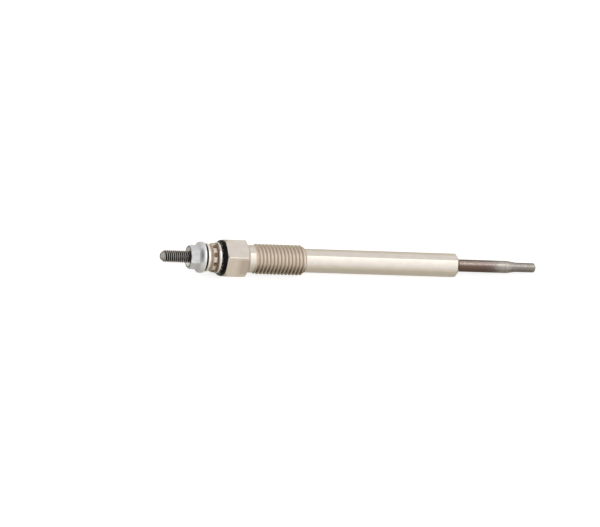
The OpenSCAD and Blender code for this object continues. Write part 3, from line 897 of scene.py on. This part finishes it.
class GLOWPLUG_OT_nut(PieceOperator, bpy.types.Operator):
    """Builds the flanged hexagon nut on the stud"""

    bl_idname = "glow_plug.nut"
    bl_label = "Flange nut"

    def execute(self, context):
        size, look = context.scene.plug_terminal, context.scene.plug_finish
        low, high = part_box("terminal_nut")
        surface, tones, gloss = plated(
            "zinc plate", look.zinc, look.zinc_dull,
            gloss=(0.65, 0.8), lines=(0.8, 0.8, 0.8), depth=6e-6,
        )
        bore_r, sink_r = size.nut_bore_d / 2, size.countersink_d / 2
        w = surface.w
        reach, along = surface.radius(), surface.along()
        deep = w.span(reach, (sink_r + bore_r) / 2, bore_r)
        # Painted shadow deep in the countersink, towards the bore
        from_rim = w.math("ABSOLUTE", w.math("SUBTRACT", reach, sink_r))
        # Painted reflection: a thin dark line at the countersink's rim
        at_end = w.math("LESS_THAN", along, low.x + size.rim_shade_line)
        rim = w.math("MULTIPLY", w.span(from_rim, size.rim_shade_line, size.rim_shade_line / 3), at_end)
        # Painted shadow at the nut's foot
        foot_shadow = w.span(along, high.x - size.foot_shadow_w, high.x - size.foot_shadow_w / 2)
        flange_x = high.x - size.flange_h
        slope_end = flange_x + size.slope_h
        rising = w.span(along, flange_x, (flange_x + slope_end) / 2)
        on_slope = w.math("MULTIPLY", rising, w.span(along, slope_end + size.flange_edge, slope_end))
        front = w.span(surface.facing(size.front_turn), math.cos(size.front_reach), 1.0)
        sloping = w.math("MULTIPLY_ADD", front, size.front_shade, size.slope_shade)
        shade = w.chain("MAXIMUM", deep, rim, foot_shadow, w.math("MULTIPLY", on_slope, sloping))
        # Painted highlight: a paler colour in the countersink and beside the foot's shadow, where the zinc
        # is also less rough
        in_sink = w.math("LESS_THAN", reach, sink_r)
        highlight_band = w.span(along, high.x - size.highlight_w, high.x - size.foot_shadow_w)
        gloss_and_highlight = w.math("MAXIMUM", in_sink, highlight_band)
        tones = w.blend(gloss_and_highlight, tones, opaque(look.zinc_highlight))
        surface.colour(w.blend(shade, tones, opaque(look.zinc_shade)))
        surface.roughness(w.span(gloss_and_highlight, 0.0, 1.0, gloss, size.polish))

        flats = six_sided(size.nut_columns, size.nut_af, FLAT_STEP / 2)
        rim_r = sink_r + size.nut_rim
        flange_r, foot_r = high.y, size.foot_d / 2
        edge, bend = size.nut_edge, size.flange_edge
        chamfer = math.tan(context.scene.plug_shell.chamfer_angle)
        # The flange's sloping face runs from the flats to where its rounded edge begins
        slope_r = flange_r - bend + bend * math.cos(size.flange_turn)
        slope_x = flange_x + size.slope_h - bend * math.sin(size.flange_turn)
        slope = (slope_x - flange_x) / (slope_r - size.nut_af / 2)
        rows = [
            (high.x, bore_r, 0),
            (low.x + sink_r - bore_r, bore_r, 0),
            (low.x, sink_r, edge / 3),
            (low.x, rim_r, edge / 3),
            (low.x + (flats - rim_r) * chamfer, flats, edge),
            (flange_x + (flats - size.nut_af / 2) * slope, flats, edge),
        ]
        for t in np.linspace(size.flange_turn, 0, CORNER_POINTS):
            edge_x = flange_x + size.slope_h - bend * math.sin(t)
            rows.append((edge_x, flange_r - bend + bend * math.cos(t), 0))
        foot_bend = flange_r - foot_r
        for t in np.linspace(0, math.pi / 2, 2 * CORNER_POINTS):
            rows.append((high.x - foot_bend + foot_bend * math.sin(t), foot_r + foot_bend * math.cos(t), 0))
        bm = bmesh.new()
        add_rings(bm, outline_rings(rows, size.nut_columns), closed=True)
        weld(bm)
        round_corners(bm, size.nut_af / 2 + 2 * edge, edge)
        finished_piece("flange_nut", bm, surface.material, "terminal_nut")
        return {"FINISHED"}


class GLOWPLUG_OT_round_nut(PieceOperator, bpy.types.Operator):
    """Builds the round nut with its contact ring, bead and crimp marks"""

    bl_idname = "glow_plug.round_nut"
    bl_label = "Round nut"

    def execute(self, context):
        size, look = context.scene.plug_terminal, context.scene.plug_finish
        low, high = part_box("round_nut")
        bore_r, ring_r, waist_r, bead_r = size.nut_bore_d / 2, size.ring_d / 2, size.waist_d / 2, high.z
        bead_x = high.x - size.bead_l
        rise = bead_r - waist_r
        half_w, sunk = size.crimp_w / 2, size.crimp_depth
        mark_r = (half_w * half_w + sunk * sunk) / (2 * sunk)
        mark_turn = math.acos(1 - 2 * size.crimp_offset / size.bead_l)
        ring_of_marks = waist_r + rise * math.sin(mark_turn) - sunk + mark_r

        surface, tones, _ = plated(
            "crimped nickel", look.crimped, look.nickel_dull,
            gloss=(0.32, 0.42), lines=(3.0, 0.5, 0.5), depth=3e-6,
        )
        w = surface.w
        # Painted shade: brown in the crimp marks, fuller where they are deeper, and in a band on the bead's
        # side towards the washer
        mark_shade = w.add("ShaderNodeAttribute", attribute_name="mark").outputs["Fac"]
        x = surface.along()
        band_from, band_to = (bead_x + share * size.bead_l for share in (size.band_from, size.band_to))
        browner = w.span(x, band_from, (band_from + band_to) / 2)
        shade_band = w.chain("MULTIPLY", browner, w.math("LESS_THAN", x, band_to), size.band_shade)
        darkening = w.math("MAXIMUM", mark_shade, shade_band)
        # Painted highlight: the contact ring's rim is paler
        on_ring = w.math("LESS_THAN", x, low.x + size.ring_t)
        tones = w.blend(on_ring, tones, opaque(look.ring_highlight))
        surface.colour(w.blend(darkening, tones, opaque(look.crimp_shade)))

        edge = size.nut_edge
        rows = [
            (low.x, bore_r, 0),
            (low.x, ring_r, edge),
            (low.x + size.ring_t, ring_r, edge),
            (bead_x, waist_r, 0),
        ]
        for t in np.linspace(0, size.bead_turn, size.bead_rows)[1:]:
            rows.append((bead_x + size.bead_l * (1 - math.cos(t)) / 2, waist_r + rise * math.sin(t), 0))
        rows += [(high.x, waist_r + rise / 2, 0), (high.x, bore_r, 0)]
        blank = bmesh.new()
        add_rings(blank, outline_rings(rows, size.round_columns), closed=True)
        weld(blank)
        mesh = bpy.data.meshes.new("round nut blank")
        blank.to_mesh(mesh)
        blank.free()
        pressed = grown_mesh(crimp_tree(), {
            "Count": size.crimp_count,
            "Place": bead_x + size.crimp_offset,
            "Ring Radius": ring_of_marks,
            "Mark Radius": mark_r,
            "Mark Depth": sunk,
            "Material": surface.material,
        }, mesh)
        bm = bmesh.new()
        bm.from_mesh(pressed)
        finished_piece("crimped_nut", bm, surface.material, "round_nut")
        return {"FINISHED"}


class GLOWPLUG_OT_washer(PieceOperator, bpy.types.Operator):
    """Builds the bright washer under the round nut"""

    bl_idname = "glow_plug.washer"
    bl_label = "Pressure washer"

    def execute(self, context):
        size, look = context.scene.plug_insulation, context.scene.plug_finish
        low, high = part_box("pressure_washer")
        surface, tones, _ = plated(
            "bright washer", look.washer, look.washer_dull,
            gloss=(0.14, 0.24), lines=(2.0, 1.2, 1.2), depth=3e-6,
        )
        surface.colour(tones)
        bore_r, outer_r, edge = size.bore_d / 2, high.z, size.washer_edge
        rows = [(low.x, bore_r, 0), (low.x, outer_r, edge), (high.x, outer_r, edge), (high.x, bore_r, 0)]
        turned_piece(
            "rimmed_washer", rows, size.columns, surface.material, "pressure_washer"
        )
        return {"FINISHED"}


class GLOWPLUG_OT_bush(PieceOperator, bpy.types.Operator):
    """Builds the glossy black bush between the washer and the hexagon"""

    bl_idname = "glow_plug.bush"
    bl_label = "Insulating bush"

    # Least and greatest roughness
    GLOSS = (0.05, 0.1)
    # Features per millimetre of the wear, and the span of the noise in which it changes
    WEAR_SCALE = (0.7, 0.7, 0.7)
    WEAR = (0.4, 0.75)
    # The same for the specks on the rim
    SPECK_SCALE = (1.6, 1.6, 1.6)
    SPECKS = (0.5, 0.62)
    # Features per millimetre of the grain, and its height
    GRAIN_SCALE = (4.0, 4.0, 4.0)
    RELIEF = 4e-6

    def execute(self, context):
        size, look = context.scene.plug_insulation, context.scene.plug_finish
        low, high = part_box("insulating_bush")
        surface = Surface("black moulding", metallic=0.0, Specular_IOR_Level=0.08)
        w = surface.w
        worn = w.span(surface.noise(self.WEAR_SCALE, detail=5.0), *self.WEAR)
        blacks = w.blend(worn, opaque(look.black), opaque(look.black_worn))
        # Painted glints: pale specks along the rim's outer edge
        on_rim = w.span(surface.along(), low.x + size.glint_w, low.x + size.glint_w / 2)
        specks = w.span(surface.noise(self.SPECK_SCALE), *self.SPECKS)
        glinting = w.math("MULTIPLY", on_rim, specks)
        surface.colour(w.blend(glinting, blacks, opaque(look.black_glint)))
        grain = surface.noise(self.GRAIN_SCALE)
        surface.roughness(w.span(grain, *GRAIN, *self.GLOSS))
        surface.relief(grain, self.RELIEF)

        bore_r, face_r, outer_r, spigot_r = size.bore_d / 2, size.face_d / 2, high.z, size.spigot_d / 2
        flange_x = low.x + size.flange_t
        bend = size.flange_t - size.rim_t
        rows = [(low.x, bore_r, 0), (low.x, face_r, 0)]
        for t in np.linspace(0, math.pi / 2, 3 * CORNER_POINTS)[1:]:
            rows.append((low.x + bend * (1 - math.cos(t)), face_r + (outer_r - face_r) * math.sin(t), 0))
        rows += [
            (flange_x, outer_r, size.edge),
            (flange_x, spigot_r, 0),
            (high.x, spigot_r, size.edge),
            (high.x, bore_r, 0),
        ]
        turned_piece(
            "black_bush", rows, size.columns, surface.material, "insulating_bush"
        )
        return {"FINISHED"}


class GLOWPLUG_OT_tube(PieceOperator, bpy.types.Operator):
    """Builds the heat-tinted glow tube with its swaged tip"""

    bl_idname = "glow_plug.tube"
    bl_label = "Glow tube"

    # Colours along the free tube, from the shell to the tip
    TINTS = (
        (0.0, (0.12, 0.08, 0.06)),
        (0.15, (0.126, 0.084, 0.066)),
        (0.34, (0.121, 0.078, 0.071)),
        (0.46, (0.15, 0.12, 0.111)),
        (0.53, (0.265, 0.25, 0.228)),
        (0.62, (0.3, 0.284, 0.258)),
        (0.68, (0.22, 0.204, 0.19)),
        (0.8, (0.192, 0.176, 0.164)),
        (0.95, (0.203, 0.187, 0.172)),
        (1.0, (0.28, 0.27, 0.21)),
    )
    # Least and greatest roughness
    GLOSS = (0.14, 0.24)
    # Least and greatest strength of the painted highlight streak, as its grain sets it
    HIGHLIGHT_GRAIN = (0.5, 1.5)
    # Power by which the streak fades out to its sides
    HIGHLIGHT_FADE = 2.0
    # Features per millimetre of the mottle, which shifts the tints, and of the streak's grain
    MOTTLE_SCALE = (0.5, 0.9, 0.9)
    STREAK_SCALE = (2.0, 1.5, 1.5)
    # Span of the mottle, and the shares of the free tube by which it shifts the tints
    MOTTLE = (0.2, 0.8)
    SHIFT = (-0.06, 0.06)
    # Height of the streak's grain
    RELIEF = 6e-6

    def execute(self, context):
        size, look = context.scene.plug_tube, context.scene.plug_finish
        low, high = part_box("glow_tube")
        free_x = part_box("body_shell")[1].x
        surface = Surface("heat-tinted alloy", metallic=1.0)
        w = surface.w
        ramp = w.add("ShaderNodeValToRGB")
        while len(ramp.color_ramp.elements) < len(self.TINTS):
            ramp.color_ramp.elements.new(1.0)
        for element, (spot, colour) in zip(ramp.color_ramp.elements, self.TINTS):
            element.position = spot
            element.color = opaque(colour)
        shift = w.span(surface.noise(self.MOTTLE_SCALE, detail=4.0), *self.MOTTLE, *self.SHIFT)
        share = w.span(surface.along(), free_x, high.x)
        w.feed(ramp.inputs[0], w.math("ADD", share, shift))
        streaks = surface.noise(self.STREAK_SCALE, detail=4.0)
        # Painted highlight: a paler streak along the tube's upper side, weaker towards the tip
        topmost = w.span(surface.facing(size.highlight_turn), math.cos(size.highlight_reach), 1.0)
        rubbed_and_highlight = w.chain(
            "MULTIPLY",
            w.math("POWER", topmost, self.HIGHLIGHT_FADE),
            w.span(streaks, *GRAIN, *self.HIGHLIGHT_GRAIN),
            w.span(share, *size.highlight_span, 1.0, size.highlight_tip),
        )
        tones = w.vector("ADD", ramp.outputs["Color"], w.scaled(tuple(look.rubbed_and_highlight), rubbed_and_highlight))
        die_x = size.taper_x - size.taper_edge - size.die_w
        on_line = w.math("MULTIPLY", surface.inside(die_x, die_x + size.die_w), size.die_shade)
        surface.colour(w.blend(on_line, tones, opaque(self.TINTS[0][1])))
        surface.roughness(w.span(streaks, *GRAIN, *self.GLOSS))
        surface.relief(streaks, self.RELIEF)

        outer_r, tip_r, bend = high.z, size.tip_d / 2, size.tip_round
        bore_r, tip_bore_r = outer_r - size.wall, tip_r - size.wall
        floor_x = high.x - size.end_wall
        rows = [(low.x, bore_r, 0), (low.x, outer_r, 0)]
        for x in np.linspace(low.x, size.taper_x, size.rows)[1:-1]:
            rows.append((x, outer_r, 0))
        rows += [(size.taper_x, outer_r, size.taper_edge), (size.tip_x, tip_r, size.taper_edge)]
        for t in np.linspace(0, math.pi / 2, 2 * CORNER_POINTS):
            rows.append((high.x - bend + bend * math.sin(t), tip_r - bend + bend * math.cos(t), 0))
        outer_rows = len(rows) + 1
        rows += [
            (high.x, 0.0, 0),
            (floor_x, 0.0, 0),
            (floor_x, tip_bore_r, 0),
            (size.tip_x, tip_bore_r, 0),
            (size.taper_x, bore_r, 0),
            (low.x, bore_r, 0),
        ]
        bm = bmesh.new()
        add_rings(bm, outline_rings(rows[:outer_rows], size.columns), closed=False)
        add_rings(bm, outline_rings(rows[outer_rows:], size.columns), closed=False)
        weld(bm)
        finished_piece("tinted_tube", bm, surface.material, "glow_tube")
        return {"FINISHED"}


class GLOWPLUG_OT_inner(PieceOperator, bpy.types.Operator):
    """Gives the seals, the powder and the coils inside the plug their finishes"""

    bl_idname = "glow_plug.inner"
    bl_label = "Inner pieces"

    # What the dark grains keep of a finish's colour
    SHADE = 0.75
    # Height of the grains
    RELIEF = 1e-5

    def execute(self, context):
        look = context.scene.plug_finish
        rubber = self.grained("seal rubber", look.rubber, gloss=(0.55, 0.8), per_mm=1.0)
        powder = self.grained("pressed magnesia", look.magnesia, gloss=(0.75, 0.95), per_mm=3.0)
        wire = self.grained("coil wire", look.wire, gloss=(0.35, 0.5), per_mm=4.0, metallic=1.0)
        finishes = {
            "head_seal": rubber,
            "tube_seal": rubber,
            "magnesia_fill": powder,
            "regulating_coil": wire,
            "heating_coil": wire,
        }
        for name, material in finishes.items():
            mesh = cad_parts[name].data
            mesh.materials.clear()
            mesh.materials.append(material)
        return {"FINISHED"}

    def grained(self, name, colour, gloss, per_mm, metallic=0.0):
        """A finish with a fine grain in its colour, gloss and relief."""
        surface = Surface(name, metallic)
        grain = surface.noise((per_mm, per_mm, per_mm), detail=4.0)
        darker = opaque([self.SHADE * c for c in colour])
        surface.colour(surface.w.blend(surface.w.span(grain, *GRAIN), darker, opaque(colour)))
        surface.roughness(surface.w.span(grain, *GRAIN, *gloss))
        surface.relief(grain, self.RELIEF)
        return surface.material


class GLOWPLUG_OT_stage(bpy.types.Operator):
    """Sets up the pale floor, the soft light and the camera"""

    bl_idname = "glow_plug.stage"
    bl_label = "Studio"

    # Sides of the round floor, and features per millimetre of its clouds
    FLOOR_SIDES = 96
    FLOOR_CLOUDS = (0.004, 0.004, 0.004)
    # Shares of the camera's distance at which its view begins and ends
    CLIP = (0.01, 10)

    def execute(self, context):
        scene = context.scene
        self.light_world(scene, scene.plug_studio)
        self.lay_floor(scene, scene.plug_studio)
        self.hang_panel(scene, scene.plug_studio)
        self.place_camera(scene, scene.plug_studio)
        scene.view_settings.view_transform = "Standard"
        return {"FINISHED"}

    def shown(self, w, other, direct, mirrored):
        """One level for the camera's rays, one for rays from metal or through glass, one for all others."""
        camera = w.add("ShaderNodeLightPath").outputs["Is Camera Ray"]
        started = w.span(camera, 0.0, 1.0, other, direct)
        return w.span(self.bent(w), 0.0, 1.0, started, mirrored)

    def bent(self, w):
        """One for rays from metal or through glass."""
        path = w.add("ShaderNodeLightPath").outputs
        return w.math("MAXIMUM", path["Is Glossy Ray"], path["Is Transmission Ray"])

    def light_world(self, scene, studio):
        """White surroundings, which metal mirrors warmer near the floor. The camera sees plain white."""
        scene.world = bpy.data.worlds.new("white surroundings")
        scene.world.use_nodes = True
        w = Wiring(scene.world.node_tree)
        sky = scene.world.node_tree.nodes["Background"]
        direction = w.add("ShaderNodeTexCoord").outputs["Generated"]
        up = w.add("ShaderNodeSeparateXYZ", {0: direction}).outputs["Z"]
        lowness = w.span(up, 0.0, math.sin(studio.horizon_reach), 1.0, 0.0, kind="SMOOTHSTEP")
        warm = w.math("MULTIPLY", lowness, self.bent(w))
        w.feed(sky.inputs["Color"], w.blend(warm, opaque(WHITE), opaque(studio.horizon)))
        w.feed(sky.inputs["Strength"], self.shown(w, studio.sky, 1.0, studio.sky_mirrored))

    def lay_floor(self, scene, studio):
        """A round floor that touches the hexagon's flat and the barrel's end, as the plug comes to rest."""
        size = scene.plug_shell
        low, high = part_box("body_shell")
        barrel_r, neck_r = size.barrel_d / 2, size.neck_d / 2
        flat_end = size.neck_x - (high.z - neck_r) / math.tan(size.shoulder_angle)
        rise = (high.z - barrel_r) / (size.seat_x - flat_end)
        bm = bmesh.new()
        bmesh.ops.create_circle(bm, cap_ends=True, segments=self.FLOOR_SIDES, radius=studio.floor_r)
        for v in bm.verts:
            v.co.z = low.z - studio.floor_gap + rise * (v.co.x - flat_end)
        mesh = bpy.data.meshes.new("floor")
        bm.to_mesh(mesh)
        bm.free()
        mesh.materials.append(self.floor_material(studio, neck_r))
        floor = bpy.data.objects.new("floor", mesh)
        scene.collection.objects.link(floor)

    def floor_material(self, studio, plug_r):
        """A pale floor that glows white for the camera, and less so beside the plug for metal, which mirrors
        there a painted shadow of the plug.
        """
        surface = Surface("pale floor", metallic=0.0, Specular_IOR_Level=0.0, Roughness=1.0)
        w, sockets = surface.w, surface.shader.inputs
        soft = w.span(surface.noise(self.FLOOR_CLOUDS), *GRAIN)
        paler = opaque([studio.floor_paler * c for c in studio.floor_colour])
        surface.colour(w.blend(soft, opaque(studio.floor_colour), paler))
        glow_tint = w.blend(self.bent(w), opaque(studio.floor_balance), opaque(studio.floor_tint))
        w.feed(sockets["Emission Color"], glow_tint)
        spot = w.add("ShaderNodeSeparateXYZ", {0: surface.place}).outputs
        aside = w.math("ABSOLUTE", spot["Y"])
        # Painted shadow: the glow that metal mirrors is lowest beside the plug
        near, far, fade = studio.floor_mirror_shadow, studio.floor_mirror_far, studio.floor_fade
        mirrored = w.span(aside, plug_r, fade, near, far, kind="SMOOTHSTEP")
        stud_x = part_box("terminal_stud")[0].x
        beyond = w.span(spot["X"], stud_x, stud_x - fade, kind="SMOOTHSTEP")
        mirrored = w.span(beyond, 0.0, 1.0, mirrored, studio.floor_mirror_end)
        w.feed(sockets["Emission Strength"], self.shown(w, 0.0, studio.floor_glow, mirrored))
        return surface.material

    def hang_panel(self, scene, studio):
        """One large soft light panel over the plug, which fades out towards its front edge."""
        middle = (studio.panel_back + studio.panel_front) / 2
        panel_l = 2 * studio.panel_distance * math.tan(studio.panel_back - middle)
        light = bpy.data.lights.new("top panel", "AREA")
        light.shape = "RECTANGLE"
        light.size = studio.panel_w
        light.size_y = panel_l
        # An area light's power for a surface as bright as white
        light.energy = math.pi * studio.panel_w * panel_l
        light.use_nodes = True
        w = Wiring(light.node_tree)
        spot = w.add("ShaderNodeNewGeometry").outputs["Parametric"]
        across = w.add("ShaderNodeSeparateXYZ", {0: spot}).outputs["Y"]
        fading = w.span(across, studio.fade_from, studio.fade_to, 0.0, studio.panel_level, kind="SMOOTHSTEP")
        core = w.math("POWER", across, studio.core_fade)
        glow = w.math("MULTIPLY_ADD", core, studio.core_level, fading)
        w.feed(light.node_tree.nodes["Emission"].inputs["Strength"], glow)
        panel = bpy.data.objects.new("top panel", light)
        out = Vector((0.0, -math.cos(middle), math.sin(middle)))
        panel.location = out * studio.panel_distance + Vector((studio.panel_x, 0.0, 0.0))
        panel.rotation_euler = (math.pi / 2 - middle, 0.0, 0.0)
        panel.visible_camera = False
        scene.collection.objects.link(panel)

    def place_camera(self, scene, studio):
        """A long lens at the photograph's angle, lifted around the plug's axis."""
        a, e = studio.azimuth, studio.elevation
        back = Vector((math.sin(a) * math.cos(e), -math.cos(a) * math.cos(e), math.sin(e)))
        lens = bpy.data.cameras.new("camera")
        lens.lens = studio.lens
        lens.clip_start, lens.clip_end = (studio.distance * share for share in self.CLIP)
        camera = bpy.data.objects.new("camera", lens)
        looking = (-back).to_track_quat("-Z", "Y").to_matrix().to_4x4()
        target = Vector((studio.target_x, 0.0, studio.target_z))
        place = Matrix.Translation(target + back * studio.distance)
        level_view = place @ looking @ Matrix.Rotation(studio.roll, 4, "Z")
        camera.matrix_world = Matrix.Rotation(-studio.lift, 4, "X") @ level_view
        scene.collection.objects.link(camera)
        scene.camera = camera


OPERATORS = (
    GLOWPLUG_OT_shell,
    GLOWPLUG_OT_stud,
    GLOWPLUG_OT_nut,
    GLOWPLUG_OT_round_nut,
    GLOWPLUG_OT_washer,
    GLOWPLUG_OT_bush,
    GLOWPLUG_OT_tube,
    GLOWPLUG_OT_inner,
    GLOWPLUG_OT_stage,
)


class GLOWPLUG_PT_sidebar(bpy.types.Panel):
    """Lists the plug's pieces and their sizes"""

    bl_idname = "GLOWPLUG_PT_sidebar"
    bl_label = "Diesel glow plug"
    bl_space_type = "VIEW_3D"
    bl_region_type = "UI"
    bl_category = "Glow plug"

    def draw(self, context):
        buttons = self.layout.column(align=True)
        for operator in OPERATORS:
            buttons.operator(operator.bl_idname)
        for name, group in GROUPS.items():
            box = self.layout.box()
            box.label(text=group.__name__)
            for prop in group.__annotations__:
                box.prop(getattr(context.scene, name), prop)


CLASSES = (*GROUPS.values(), *OPERATORS, GLOWPLUG_PT_sidebar)


def register():
    """Makes the sizes, the operators and the panel known to Blender."""
    for cls in CLASSES:
        bpy.utils.register_class(cls)
    for name, group in GROUPS.items():
        setattr(bpy.types.Scene, name, bpy.props.PointerProperty(type=group))


def unregister():
    """Takes them out again."""
    for name in GROUPS:
        delattr(bpy.types.Scene, name)
    for cls in reversed(CLASSES):
        bpy.utils.unregister_class(cls)


def main():
    """Builds the plug and its studio."""
    register()
    bpy.ops.glow_plug.shell()
    bpy.ops.glow_plug.stud()
    bpy.ops.glow_plug.nut()
    bpy.ops.glow_plug.round_nut()
    bpy.ops.glow_plug.washer()
    bpy.ops.glow_plug.bush()
    bpy.ops.glow_plug.tube()
    bpy.ops.glow_plug.inner()
    bpy.ops.glow_plug.stage()


if __name__ == "__main__":
    main()
